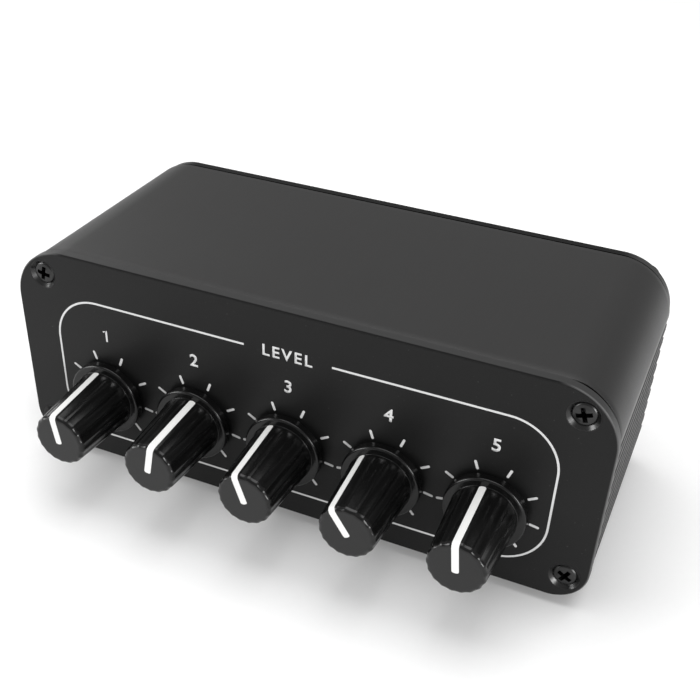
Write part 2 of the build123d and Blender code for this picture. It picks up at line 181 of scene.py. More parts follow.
# Surroundings
FLOOR_REACH = 6.0
ROOM_LIGHT = 0.40
LAMP_AIM = Vector((0, 0, 0.02))
LAMPS = {
    "top_lamp": {"place": (0.00, 0.10, 0.95), "size": 0.9, "power": 8.0},
    "left_lamp": {"place": (-0.75, -0.45, 0.30), "size": 0.4, "power": 4.5},
    "rear_lamp": {"place": (-0.70, 0.45, 0.40), "size": 0.4, "power": 0.8},
    "right_lamp": {"place": (0.75, -0.55, 0.22), "size": 0.35, "power": 5.5},
}
CAMERA_LENS = 54.1473
SENSOR_WIDTH = 36.0
CAMERA_SHIFT = (0.039938, 0.082581)
CAMERA_PLACE = (0.070240, -0.166661, 0.141778)
CAMERA_TURN = (54.57797, -1.32087, 24.5774)
CAMERA_CLIP = (0.01, 20.0)

# Places read from the solids
FRONT_LOW, FRONT_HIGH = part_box("front_panel")
REAR_LOW, REAR_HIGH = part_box("rear_panel")
TUBE_LOW, TUBE_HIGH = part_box("extruded_case")
FRONT_Y = FRONT_LOW.y
REAR_Y = REAR_HIGH.y
CASE_HALF = FRONT_HIGH.x
CASE_BOTTOM = FRONT_LOW.z
CASE_TOP = FRONT_HIGH.z
DIALS = [(Vector(joint["pos_m"]), joint) for joint in frame["joints"]]
SLOT_OF = {part["node"]: part["material_slot"] for part in frame["record"]["subparts"]}
SHELL_LOW, SHELL_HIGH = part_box("input_socket_shells")
CORE_LOW, CORE_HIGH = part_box("red_insulators")
CONTACT_LOW, CONTACT_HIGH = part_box("socket_contacts")
JACK_LOW, JACK_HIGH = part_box("power_jack_pin")
JACK_X = (JACK_LOW.x + JACK_HIGH.x) / 2
JACK_Z = (JACK_LOW.z + JACK_HIGH.z) / 2
SOCKET_NAMES = ["input"] + ["output_" + str(n) for n in range(1, 6)]
SOCKET_SPOTS = []
for socket_name in SOCKET_NAMES:
    low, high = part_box(socket_name + "_socket_shells")
    column = (low.x + high.x) / 2
    SOCKET_SPOTS += [(column, low.z + SHELL_RADIUS), (column, high.z - SHELL_RADIUS)]
SCREW_SPOTS = []
for side in (-1, 1):
    SCREW_SPOTS.append((side * (CASE_HALF - TOP_SCREW_INSET), CASE_TOP - TOP_SCREW_DROP))
    SCREW_SPOTS.append((side * (CASE_HALF - BOTTOM_SCREW_INSET), CASE_BOTTOM + BOTTOM_SCREW_RISE))

# The knob's outline, up its hollow back and round its outside: radius, along, fillet
KNOB_OUTLINE = [
    (0, -BORE_DEPTH, 0),
    (KNOB_BORE, -BORE_DEPTH, 0),
    (KNOB_BORE, -BUSHING_ROOM_DEPTH, 0),
    (BUSHING_ROOM, -BUSHING_ROOM_DEPTH, 0),
    (BUSHING_ROOM, -NUT_ROOM_DEPTH, 0),
    (NUT_ROOM, -NUT_ROOM_DEPTH, 0),
    (NUT_ROOM, 0, KNOB_CREASE),
    (SKIRT_RADIUS, 0, SKIRT_BACK_ROUND),
    (SKIRT_RADIUS, -SKIRT_FRONT, SKIRT_ROUND),
    (KNOB_BASE, -SKIRT_FRONT, KNOB_CREASE),
    (KNOB_TIP, -KNOB_LENGTH, KNOB_ROUND),
    (0, -KNOB_LENGTH, 0),
]


# Node trees


def feed(tree, socket, value):
    """Links a socket to another one, or sets its own value."""
    if isinstance(value, bpy.types.NodeSocket):
        tree.links.new(value, socket)
    else:
        socket.default_value = value


def node(tree, kind, inputs=None, **settings):
    """Adds one node with its settings and its inputs, given by name or by place."""
    made = tree.nodes.new(kind)
    for key, value in settings.items():
        setattr(made, key, value)
    for key, value in (inputs or {}).items():
        feed(tree, made.inputs[key], value)
    return made


def calc(tree, operation, *values):
    """One step of arithmetic on numbers."""
    made = node(tree, "ShaderNodeMath", operation=operation)
    for socket, value in zip(made.inputs, values):
        feed(tree, socket, value)
    return made.outputs[0]


def vector_calc(tree, operation, *values):
    """One step of arithmetic on vectors."""
    made = node(tree, "ShaderNodeVectorMath", operation=operation)
    scale = operation == "SCALE"
    feed(tree, made.inputs[0], values[0])
    feed(tree, made.inputs[3 if scale else 1], values[1])
    return made.outputs[0]


class ShapeTree:
    """A Geometry Nodes tree with named inputs, which ends by making its copies real and painting them."""

    def __init__(self, name, sizes):
        self.tree = bpy.data.node_groups.new(name, "GeometryNodeTree")
        sockets = self.tree.interface
        sockets.new_socket("Geometry", in_out="INPUT", socket_type="NodeSocketGeometry")
        sockets.new_socket("Geometry", in_out="OUTPUT", socket_type="NodeSocketGeometry")
        self.keys = {}
        for label, kind in {**sizes, "Finish": "Material"}.items():
            made = sockets.new_socket(label, in_out="INPUT", socket_type="NodeSocket" + kind)
            self.keys[label] = made.identifier
        self.given = self.tree.nodes.new("NodeGroupInput").outputs

    def end(self, geometry):
        real = node(self.tree, "GeometryNodeRealizeInstances", {"Geometry": geometry})
        coat = {"Geometry": real.outputs[0], "Material": self.given["Finish"]}
        painted = node(self.tree, "GeometryNodeSetMaterial", coat)
        node(self.tree, "NodeGroupOutput", {"Geometry": painted.outputs[0]})
        return self

    def make(self, name, source, **values):
        """The plain mesh that the tree makes from a source mesh."""
        holder = add_object(name + "_source", source)
        modifier = holder.modifiers.new("shape", "NODES")
        modifier.node_group = self.tree
        for label, value in values.items():
            modifier[self.keys[label.replace("_", " ")]] = value
        graph = bpy.context.evaluated_depsgraph_get()
        mesh = bpy.data.meshes.new_from_object(holder.evaluated_get(graph))
        holder.modifiers.remove(modifier)
        bpy.data.objects.remove(holder)
        mesh.name = name
        return mesh


def sampled(tree, source, value, index):
    """What a mesh holds at one of its points."""
    made = node(tree, "GeometryNodeSampleIndex", data_type="FLOAT_VECTOR", domain="POINT")
    feed(tree, made.inputs["Geometry"], source)
    feed(tree, made.inputs["Value"], value)
    feed(tree, made.inputs["Index"], index)
    return made.outputs[0]


def lattice(shape, columns, rows):
    """A flat lattice, with each point's place in it from 0 to 1 across and down."""
    tree = shape.tree
    size = {"Size X": 1.0, "Size Y": 1.0, "Vertices X": columns, "Vertices Y": rows}
    grid = node(tree, "GeometryNodeMeshGrid", size)
    place = node(tree, "GeometryNodeInputPosition").outputs[0]
    split = node(tree, "ShaderNodeSeparateXYZ", {0: place})
    across = calc(tree, "ADD", split.outputs[0], 0.5)
    down = calc(tree, "ADD", split.outputs[1], 0.5)
    return grid.outputs["Mesh"], across, down


def turned_tree():
    """Turns an outline of (radius, along) points about Y, clockwise from the top, with flutes in front."""
    sizes = {"Sides": "Int", "Flutes": "Int", "Flute Width": "Float", "Flute Depth": "Float"}
    sizes.update({"Flute Start": "Float", "Flute Full": "Float", "Flute End": "Float", "Flute Fade": "Float"})
    shape = ShapeTree("turned_form", sizes)
    tree, given = shape.tree, shape.given
    outline = given["Geometry"]
    count = node(tree, "GeometryNodeAttributeDomainSize", {0: outline}, component="MESH")
    rows = count.outputs["Point Count"]
    columns = calc(tree, "ADD", given["Sides"], 1.0)
    grid, turn, down = lattice(shape, columns, rows)
    row = calc(tree, "ROUND", calc(tree, "MULTIPLY", down, calc(tree, "SUBTRACT", rows, 1.0)))
    place = node(tree, "GeometryNodeInputPosition").outputs[0]
    point = node(tree, "ShaderNodeSeparateXYZ", {0: sampled(tree, outline, place, row)})
    radius, along = point.outputs[0], point.outputs[1]
    share = calc(tree, "FRACT", calc(tree, "MULTIPLY_ADD", turn, given["Flutes"], 0.5))
    off = calc(tree, "ABSOLUTE", calc(tree, "SUBTRACT", share, 0.5))
    off = calc(tree, "DIVIDE", off, calc(tree, "MULTIPLY", given["Flute Width"], 0.5))
    cut = calc(tree, "MAXIMUM", calc(tree, "SUBTRACT", 1.0, calc(tree, "MULTIPLY", off, off)), 0.0)
    run = {"Value": along, 1: given["Flute Start"], 2: given["Flute Full"]}
    run = node(tree, "ShaderNodeMapRange", run, interpolation_type="SMOOTHSTEP").outputs[0]
    fade = {"Value": along, 1: given["Flute Full"], 2: given["Flute End"], 3: 1.0, 4: given["Flute Fade"]}
    run = calc(tree, "MULTIPLY", run, node(tree, "ShaderNodeMapRange", fade).outputs[0])
    from_top = calc(tree, "ABSOLUTE", calc(tree, "SUBTRACT", turn, 0.5))
    away = calc(tree, "MULTIPLY", calc(tree, "SUBTRACT", 0.5, from_top), given["Flutes"])
    clear = calc(tree, "GREATER_THAN", away, 0.5)
    cut = calc(tree, "MULTIPLY", calc(tree, "MULTIPLY", cut, run), clear)
    left = calc(tree, "SUBTRACT", 1.0, calc(tree, "MULTIPLY", cut, given["Flute Depth"]))
    radius = calc(tree, "MULTIPLY", radius, left)
    angle = calc(tree, "MULTIPLY", turn, math.tau)
    across = calc(tree, "MULTIPLY", radius, calc(tree, "SINE", angle))
    up = calc(tree, "MULTIPLY", radius, calc(tree, "COSINE", angle))
    spot = node(tree, "ShaderNodeCombineXYZ", {0: across, 1: along, 2: up}).outputs[0]
    moved = node(tree, "GeometryNodeSetPosition", {"Geometry": grid, "Position": spot})
    joined = {"Geometry": moved.outputs[0], "Distance": MERGE_DISTANCE}
    return shape.end(node(tree, "GeometryNodeMergeByDistance", joined).outputs[0])


def set_out_tree():
    """Puts a copy of one piece at each point of a mesh, turned about Y by the point's own turn."""
    shape = ShapeTree("set_out", {"Piece": "Object"})
    tree = shape.tree
    source = {"Object": shape.given["Piece"]}
    piece = node(tree, "GeometryNodeObjectInfo", source, transform_space="ORIGINAL")
    named = node(tree, "GeometryNodeInputNamedAttribute", {"Name": "turn"}, data_type="FLOAT")
    turn = node(tree, "ShaderNodeCombineXYZ", {1: named.outputs["Attribute"]}).outputs[0]
    turn = node(tree, "FunctionNodeEulerToRotation", {0: turn}).outputs[0]
    inputs = {"Points": shape.given["Geometry"], "Instance": piece.outputs["Geometry"]}
    inputs["Rotation"] = turn
    return shape.end(node(tree, "GeometryNodeInstanceOnPoints", inputs).outputs[0])


def ribbed_tube_tree():
    """Carries a closed outline along its stations, with a row of round grooves down each flank."""
    sizes = {"Stations": "Object", "Groove Count": "Int", "Groove Low": "Float"}
    sizes.update({"Groove High": "Float", "Groove Radius": "Float", "Groove Depth": "Float"})
    shape = ShapeTree("ribbed_tube", sizes)
    tree, given = shape.tree, shape.given
    outline = given["Geometry"]
    stations = node(tree, "GeometryNodeObjectInfo", {"Object": given["Stations"]}).outputs["Geometry"]
    counts = []
    for source in (outline, stations):
        size = node(tree, "GeometryNodeAttributeDomainSize", {0: source}, component="MESH")
        counts.append(size.outputs["Point Count"])
    grid, across, down = lattice(shape, counts[0], counts[1])
    steps = []
    for share, count in ((across, counts[0]), (down, counts[1])):
        last = calc(tree, "SUBTRACT", count, 1.0)
        steps.append(calc(tree, "ROUND", calc(tree, "MULTIPLY", share, last)))
    place = node(tree, "GeometryNodeInputPosition").outputs[0]

    def held(source, label, step):
        vector = {"data_type": "FLOAT_VECTOR"}
        named = node(tree, "GeometryNodeInputNamedAttribute", {"Name": label}, **vector)
        return sampled(tree, source, named.outputs["Attribute"], step)

    point = sampled(tree, outline, place, steps[0])
    inward = held(outline, "inward", steps[0])
    marks = node(tree, "ShaderNodeSeparateXYZ", {0: held(outline, "marks", steps[0])})
    flank, corner = marks.outputs[0], marks.outputs[1]
    station = node(tree, "ShaderNodeSeparateXYZ", {0: held(stations, "place", steps[1])})
    relief = node(tree, "ShaderNodeSeparateXYZ", {0: held(stations, "relief", steps[1])})
    corner = calc(tree, "MULTIPLY_ADD", marks.outputs[2], relief.outputs[2], corner)
    height = node(tree, "ShaderNodeSeparateXYZ", {0: point}).outputs[2]
    span = calc(tree, "SUBTRACT", given["Groove High"], given["Groove Low"])
    gaps = calc(tree, "SUBTRACT", given["Groove Count"], 1.0)
    pitch = calc(tree, "DIVIDE", span, gaps)
    phase = calc(tree, "DIVIDE", calc(tree, "SUBTRACT", height, given["Groove Low"]), pitch)
    near = calc(tree, "MINIMUM", calc(tree, "MAXIMUM", calc(tree, "ROUND", phase), 0.0), gaps)
    off = calc(tree, "MULTIPLY", calc(tree, "SUBTRACT", phase, near), pitch)
    radius = given["Groove Radius"]
    square = calc(tree, "SUBTRACT", calc(tree, "MULTIPLY", radius, radius), calc(tree, "MULTIPLY", off, off))
    reach = calc(tree, "SQRT", calc(tree, "MAXIMUM", square, 0.0))
    groove = calc(tree, "SUBTRACT", reach, calc(tree, "SUBTRACT", radius, given["Groove Depth"]))
    groove = calc(tree, "MULTIPLY", calc(tree, "MAXIMUM", groove, 0.0), flank)
    inset = calc(tree, "MULTIPLY_ADD", groove, station.outputs[2], station.outputs[1])
    inset = calc(tree, "MULTIPLY_ADD", corner, relief.outputs[1], inset)
    back = calc(tree, "MULTIPLY_ADD", corner, relief.outputs[0], station.outputs[0])
    along = node(tree, "ShaderNodeCombineXYZ", {1: back}).outputs[0]
    spot = vector_calc(tree, "ADD", point, vector_calc(tree, "SCALE", inward, inset))
    spot = vector_calc(tree, "ADD", spot, along)
    moved = node(tree, "GeometryNodeSetPosition", {"Geometry": grid, "Position": spot})
    joined = {"Geometry": moved.outputs[0], "Distance": MERGE_DISTANCE}
    return shape.end(node(tree, "GeometryNodeMergeByDistance", joined).outputs[0])


# Meshes


def add_object(name, data):
    made = bpy.data.objects.new(name, data)
    bpy.context.scene.collection.objects.link(made)
    return made


def points_mesh(name, points, **attributes):
    """A mesh of loose points, with a named number or vector for each."""
    mesh = bpy.data.meshes.new(name)
    mesh.from_pydata([tuple(point) for point in points], [], [])
    for label, values in attributes.items():
        vector = hasattr(values[0], "__len__")
        held = mesh.attributes.new(label, "FLOAT_VECTOR" if vector else "FLOAT", "POINT")
        for item, value in zip(held.data, values):
            if vector:
                item.vector = value
            else:
                item.value = value
    return mesh


def settle(mesh, crease=30.0):
    """Joins doubles, turns the faces outward, and keeps only edges over the crease angle sharp."""
    work = bmesh.new()
    work.from_mesh(mesh)
    bmesh.ops.remove_doubles(work, verts=work.verts, dist=1e-7)
    bmesh.ops.dissolve_degenerate(work, edges=work.edges, dist=1e-8)
    bmesh.ops.recalc_face_normals(work, faces=work.faces)
    work.to_mesh(mesh)
    work.free()
    mesh.polygons.foreach_set("use_smooth", [True] * len(mesh.polygons))
    mesh.set_sharp_from_angle(angle=math.radians(crease))
    return mesh


def joined_mesh(name, meshes):
    """One mesh from several, each left as it is."""
    work = bmesh.new()
    for mesh in meshes:
        work.from_mesh(mesh)
    made = bpy.data.meshes.new(name)
    work.to_mesh(made)
    work.free()
    return made


def outline_run(corners, step=0.6 * MM, support=0.04 * MM):
    """Points along a turned outline, from corners of (radius, along, fillet radius).

    A long stretch gets a point close to each of its ends, so that its shading stays flat.
    """
    corners = [(Vector((r, a)), f) for r, a, f in corners]
    run = [corners[0][0]]
    for n in range(1, len(corners) - 1):
        spot, fillet = corners[n]
        if not fillet:
            run.append(spot)
            continue
        before = (corners[n - 1][0] - spot).normalized()
        after = (corners[n + 1][0] - spot).normalized()
        half = before.angle(after) / 2
        centre = spot + (before + after).normalized() * fillet / math.sin(half)
        start = spot + before * fillet / math.tan(half) - centre
        end = spot + after * fillet / math.tan(half) - centre
        turn = start.angle_signed(end)
        pieces = max(3, math.ceil(abs(turn) / math.radians(15)))
        for k in range(pieces + 1):
            run.append(centre + Matrix.Rotation(-turn * k / pieces, 2) @ start)
    run.append(corners[-1][0])
    fine = [run[0]]
    for before, after in zip(run, run[1:]):
        length = (after - before).length
        if length > 6 * support:
            edge = (after - before) * (support / length)
            stops = [before + edge, after - edge]
            fine.append(stops[0])
            pieces = math.ceil((stops[1] - stops[0]).length / step)
            fine += [stops[0].lerp(stops[1], k / pieces) for k in range(1, pieces + 1)]
        fine.append(after)
    return points_mesh("outline", [(p.x, p.y, 0) for p in fine])


def case_outline(inset, flat_step=None):
    """The case's closed outline, drawn in by inset. A flat step also fills its straight runs.

    Each point is its (x, z), its inward direction, and from 0 to 1 how near a top corner's middle it is.
    """
    middle = (CASE_TOP + CASE_BOTTOM) / 2
    tall = (CASE_TOP - CASE_BOTTOM) / 2
    found = []

    def fill(first, away, step):
        last = found[-1][0]
        pieces = math.ceil((first - last).length / step)
        found.extend([(last.lerp(first, k / pieces), -away, 0.0) for k in range(1, pieces)])

    corners = ((1, 1, TOP_CORNER), (1, -1, BOTTOM_CORNER), (-1, -1, BOTTOM_CORNER), (-1, 1, TOP_CORNER))
    for n, (side, level, radius) in enumerate(corners):
        centre = Vector((side * (CASE_HALF - radius), middle + level * (tall - radius)))
        for k in range(ARC_STEPS + 1):
            share = k / ARC_STEPS
            angle = math.radians(90) * (n + share)
            away = Vector((math.sin(angle), math.cos(angle)))
            spot = centre + away * (radius - inset)
            if found and flat_step and k == 0:
                fill(spot, away, flat_step)
            top = math.sin(math.pi * share) if level > 0 else 0.0
            found.append((spot, -away, top))
    if flat_step:
        fill(found[0][0], Vector((0, 1)), flat_step * TOP_STEP_RATIO)
    return found


def ring(work, points, y):
    """One closed loop of points at one depth."""
    return [work.verts.new((p[0], y, p[1])) for p in points]


def bridge(work, first, second):
    """Faces between two loops with as many points."""
    for n in range(len(first)):
        work.faces.new((first[n - 1], first[n], second[n], second[n - 1]))


def loop_edges(work, loop):
    return [work.edges.get((loop[n - 1], loop[n])) for n in range(len(loop))]


def plate_mesh(name, inset, outer_y, inner_y, holes):
    """A bevelled end plate. Each hole is (x, z, sides, [(radius, depth) from the outer face inward])."""
    work = bmesh.new()
    inward = 1 if inner_y > outer_y else -1
    bevel, soft = PANEL_BEVEL, PANEL_SOFT
    steps = ((bevel + soft, 0), (bevel - soft, soft / 2), (soft / 2, bevel - soft))
    steps += ((0, bevel + soft), (0, abs(inner_y - outer_y)))
    rims = []
    for more, depth in steps:
        points = [p for p, _, _ in case_outline(inset + more)]
        rims.append(ring(work, points, outer_y + inward * depth))
    for before, after in zip(rims, rims[1:]):
        bridge(work, before, after)
    outer_edges = loop_edges(work, rims[0])
    inner_edges = loop_edges(work, rims[-1])
    for x, z, sides, radii in holes:
        loops = []
        for radius, depth in radii:
            around = [math.tau * k / sides for k in range(sides)]
            spots = [(x + radius * math.sin(a), z + radius * math.cos(a)) for a in around]
            loops.append(ring(work, spots, outer_y + inward * depth))
        for before, after in zip(loops, loops[1:]):
            bridge(work, before, after)
        outer_edges += loop_edges(work, loops[0])
        inner_edges += loop_edges(work, loops[-1])
    for edges in (outer_edges, inner_edges):
        bmesh.ops.triangle_fill(work, use_beauty=True, edges=edges)
    mesh = bpy.data.meshes.new(name)
    work.to_mesh(mesh)
    work.free()
    return settle(mesh, crease=12)


def text_mesh(words, height, spacing=1.0):
    """Lettering of a given height, as thick as the print, flat on the XY plane and centred on the origin."""
    curve = bpy.data.curves.new("words", "FONT")
    curve.body = words
    curve.align_x = "CENTER"
    curve.space_character = spacing
    curve.offset = PRINT_BOLD
    curve.resolution_u = 6
    holder = add_object("words", curve)
    graph = bpy.context.evaluated_depsgraph_get()
    flat = bpy.data.meshes.new_from_object(holder.evaluated_get(graph))
    bpy.data.objects.remove(holder)
    xs = [v.co.x for v in flat.vertices]
    ys = [v.co.y for v in flat.vertices]
    scale = height / (max(ys) - min(ys))
    centre = Vector(((max(xs) + min(xs)) / 2, (max(ys) + min(ys)) / 2, 0))
    flat.transform(Matrix.Scale(scale, 4) @ Matrix.Translation(-centre))
    work = bmesh.new()
    work.from_mesh(flat)
    bmesh.ops.remove_doubles(work, verts=work.verts, dist=1e-7)
    raised = bmesh.ops.extrude_face_region(work, geom=work.faces[:])
    lifted = [item for item in raised["geom"] if isinstance(item, bmesh.types.BMVert)]
    bmesh.ops.translate(work, verts=lifted, vec=(0, 0, PRINT_THICK))
    bmesh.ops.recalc_face_normals(work, faces=work.faces)
    work.to_mesh(flat)
    work.free()
    return flat


FACING_FRONT = Matrix.Rotation(math.radians(90), 4, "X")
FACING_REAR = Matrix.Rotation(math.radians(180), 4, "Z") @ FACING_FRONT


def printed(mesh, facing, x, y, z):
    """Flat print laid on a face that looks to the front or to the rear."""
    mesh.transform(Matrix.Translation((x, y, z)) @ facing)
    return mesh


def strip_mesh(points, width, thick):
    """A flat printed line along points in (x, z), its back on y 0."""
    work = bmesh.new()
    loops = []
    for n, point in enumerate(points):
        before = points[max(n - 1, 0)]
        after = points[min(n + 1, len(points) - 1)]
        side = (after - before).orthogonal().normalized() * width / 2
        spots = [(point + side, -thick), (point - side, -thick), (point - side, 0), (point + side, 0)]
        loops.append([work.verts.new((p.x, y, p.y)) for p, y in spots])
    for first, second in zip(loops, loops[1:]):
        bridge(work, first, second)
    work.faces.new(loops[0])
    work.faces.new(loops[-1])
    mesh = bpy.data.meshes.new("strip")
    work.to_mesh(mesh)
    work.free()
    return settle(mesh)


# Finishes


class Finish:
    """A material being mixed, with patterns for its colour, roughness and relief."""

    def __init__(self, name, metallic=0.0, specular=0.5):
        self.material = bpy.data.materials.new(name)
        self.material.use_nodes = True
        self.tree = self.material.node_tree
        self.shader = self.tree.nodes["Principled BSDF"]
        self.shader.inputs["Metallic"].default_value = metallic
        self.shader.inputs["Specular IOR Level"].default_value = specular
        self.place = node(self.tree, "ShaderNodeTexCoord").outputs["Object"]

    def grain(self, size, detail=3.0, stretch=(1, 1, 1)):
        """Noise whose grains are about size millimetres, longer where stretch is over 1."""
        scale = tuple(1 / (size * MM * s) for s in stretch)
        moved = node(self.tree, "ShaderNodeMapping", {"Vector": self.place, "Scale": scale})
        inputs = {"Vector": moved.outputs[0], "Scale": 1.0, "Detail": detail}
        return node(self.tree, "ShaderNodeTexNoise", inputs).outputs["Fac"]

    def span(self, value, low, high, to_low=0.0, to_high=1.0):
        inputs = {"Value": value, 1: low, 2: high, 3: to_low, 4: to_high}
        return node(self.tree, "ShaderNodeMapRange", inputs).outputs[0]

    def blend(self, share, first, second):
        """A colour between two others."""
        mix = node(self.tree, "ShaderNodeMix", data_type="RGBA")
        feed(self.tree, mix.inputs[0], share)
        for socket, value in ((mix.inputs[6], first), (mix.inputs[7], second)):
            feed(self.tree, socket, value if isinstance(value, bpy.types.NodeSocket) else (*value, 1))
        return mix.outputs[2]

    def sum(self, *values):
        total = values[0]
        for value in values[1:]:
            total = calc(self.tree, "ADD", total, value)
        return total

    def done(self, colour, roughness, *reliefs):
        """Joins colour, roughness and reliefs of (height, depth in millimetres) to the shader."""
        feed(self.tree, self.shader.inputs["Base Color"], colour)
        feed(self.tree, self.shader.inputs["Roughness"], roughness)
        normal = None
        for height, depth in reliefs:
            inputs = {"Height": height, "Distance": depth * MM, "Strength": 1.0}
            if normal is not None:
                inputs["Normal"] = normal
            normal = node(self.tree, "ShaderNodeBump", inputs).outputs[0]
        if normal is not None:
            feed(self.tree, self.shader.inputs["Normal"], normal)
        return self.material


def grey(value, tint=(1, 1, 1)):
    return tuple(value * part for part in tint)


def extrusion_finish():
    """Satin black anodised extrusion: a sandy grain, fine lines along Y, and a painted highlight line high on each
    flank.
    """
    mix = Finish("case_extrusion", specular=0.40)
    sand = mix.grain(0.16, 4)
    drawn = mix.grain(0.22, 2, (1, 90, 1))
    cloud = mix.grain(30, 3)
    colour = mix.blend(mix.span(sand, 0.35, 0.65), grey(0.010), grey(0.015, (1.0, 0.97, 0.96)))
    colour = mix.blend(mix.span(drawn, 0.55, 0.8, 0.0, 0.15), colour, grey(0.030))
    place = node(mix.tree, "ShaderNodeSeparateXYZ", {0: mix.place}).outputs
    # Painted highlight: a pale line on each flank just below the top corner's curve.
    flank = mix.span(calc(mix.tree, "ABSOLUTE", place[0]), CASE_HALF - 0.9 * MM, CASE_HALF - 0.5 * MM)
    off = calc(mix.tree, "ABSOLUTE", calc(mix.tree, "SUBTRACT", place[2], CASE_TOP - TOP_CORNER + 0.7 * MM))
    painted_highlight_band = calc(mix.tree, "MULTIPLY", flank, mix.span(off, 1.0 * MM, 0.3 * MM))
    colour = mix.blend(calc(mix.tree, "MULTIPLY", painted_highlight_band, 0.8), colour, grey(0.085))
    rough = mix.sum(mix.span(sand, 0.3, 0.7, 0.40, 0.48), mix.span(cloud, 0.35, 0.65, -0.02, 0.02))
    return mix.done(colour, rough, (drawn, 0.0015), (sand, 0.006))


def plate_finish():
    """Black anodised plate, finer than the extrusion, with the odd pale speck.

    Its bevel has a painted highlight near the left and right ends and painted shade along the top and bottom, and
    the rear plate's edge has painted shade along its top and bottom.
    """
    mix = Finish("panel_plate", specular=0.16)
    sand = mix.grain(0.12, 4)
    cloud = mix.grain(22, 3)
    speck = mix.grain(0.45, 1)
    place = node(mix.tree, "ShaderNodeSeparateXYZ", {0: mix.place}).outputs
    sides = [calc(mix.tree, "ABSOLUTE", calc(mix.tree, "SUBTRACT", place[1], y)) for y in (FRONT_Y, REAR_Y)]
    depth = calc(mix.tree, "MINIMUM", *sides)
    colour = mix.blend(mix.span(sand, 0.35, 0.65), grey(0.006), grey(0.010))
    colour = mix.blend(mix.span(speck, 0.74, 0.8, 0.0, 0.5), colour, grey(0.07))
    across = calc(mix.tree, "ABSOLUTE", place[0])
    # Painted light on the bevel: a painted highlight near the left and right ends, painted shade along the top and
    # bottom.
    corner = mix.span(across, CASE_HALF - TOP_CORNER, CASE_HALF - TOP_CORNER * 0.7)
    bevel = mix.blend(corner, grey(0.003), grey(0.08))
    colour = mix.blend(mix.span(depth, 0.06 * MM, 0.20 * MM), colour, bevel)
    # Painted shade on the rear plate's edge along its top and bottom.
    level = calc(mix.tree, "SUBTRACT", 1.0, corner)
    rear_painted_shade = calc(mix.tree, "MULTIPLY", mix.span(place[1], 0, REAR_LOW.y), level)
    edge = mix.blend(rear_painted_shade, grey(0.032), grey(0.001))
    colour = mix.blend(mix.span(depth, 0.30 * MM, 0.42 * MM), colour, edge)
    rough = mix.sum(mix.span(sand, 0.3, 0.7, 0.36, 0.42), mix.span(cloud, 0.35, 0.65, -0.02, 0.02))
    return mix.done(colour, rough, (sand, 0.004))


def knob_finish():
    """Glossy black moulding with a satin front face and a little dust."""
    mix = Finish("knob_moulding", specular=0.32)
    depth = node(mix.tree, "ShaderNodeSeparateXYZ", {0: mix.place}).outputs[1]
    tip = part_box("knob_1")[0].y
    face = mix.span(depth, tip + 0.12 * MM, tip + 0.06 * MM)
    dust = calc(mix.tree, "MULTIPLY", mix.span(mix.grain(0.35, 2), 0.66, 0.74), face)
    fine = mix.grain(0.07, 3)
    swirl = mix.grain(3.5, 2)
    colour = mix.blend(face, grey(0.0035), grey(0.009))
    colour = mix.blend(calc(mix.tree, "MULTIPLY", dust, 0.12), colour, grey(0.05))
    rough = mix.sum(
        mix.span(face, 0, 1, 0.22, 0.40),
        mix.span(dust, 0, 1, 0.0, 0.06),
        mix.span(swirl, 0.3, 0.7, -0.01, 0.02),
    )
    sand = calc(mix.tree, "MULTIPLY", fine, face)
    return mix.done(colour, rough, (sand, 0.006))


def painted_finish(name, colour, rough, size=0.1, mottle=0.05, specular=0.5):
    """Ink or an inlay of one colour, slightly mottled, with a fine tooth."""
    mix = Finish(name, specular=specular)
    tooth = mix.grain(size, 3)
    cloud = mix.grain(4, 2)
    darker = tuple(c * (1 - mottle) for c in colour)
    tone = mix.blend(mix.span(mix.sum(tooth, cloud), 0.75, 1.25), darker, colour)
    return mix.done(tone, mix.span(tooth, 0.3, 0.7, rough - 0.05, rough + 0.05), (tooth, 0.004))


def metal_finish(name, colour, rough, lines=None, stain=0.15):
    """Plated or turned metal, with a dull film in patches and fine lines where it was turned."""
    mix = Finish(name, metallic=1.0)
    film = mix.grain(1.4, 4)
    fine = mix.grain(0.08, 3) if lines is None else mix.grain(0.05, 2, lines)
    dull = tuple(c * (1 - stain) for c in colour)
    tone = mix.blend(mix.span(film, 0.4, 0.7), colour, dull)
    gloss = mix.span(film, 0.4, 0.7, rough, rough + 0.08)
    gloss = mix.sum(gloss, mix.span(fine, 0.3, 0.7, -0.03, 0.04))
    return mix.done(tone, gloss, (fine, 0.002))


def moulded_finish(name, colour, rough, size=0.2, depth=0.01, specular=0.5):
    """A plain moulding with a fine spark texture and slow changes of gloss."""
    mix = Finish(name, specular=specular)
    spark = mix.grain(size, 3)
    flow = mix.grain(5, 2)
    lighter = tuple(min(1.0, c * 1.25 + 0.003) for c in colour)
    tone = mix.blend(mix.span(spark, 0.35, 0.7), colour, lighter)
    gloss = mix.span(flow, 0.3, 0.7, rough - 0.03, rough + 0.04)
    gloss = mix.sum(gloss, mix.span(spark, 0.3, 0.7, -0.02, 0.03))
    return mix.done(tone, gloss, (spark, depth))


def rubber_finish():
    """Matte black rubber with a bloom of pale dust in patches."""
    mix = Finish("foot_rubber", specular=0.3)
    pore = mix.grain(0.25, 4)
    bloom = mix.grain(2.5, 4)
    colour = mix.blend(mix.span(bloom, 0.45, 0.75, 0.0, 0.6), grey(0.012), grey(0.035))
    return mix.done(colour, mix.span(pore, 0.3, 0.7, 0.72, 0.88), (pore, 0.03))


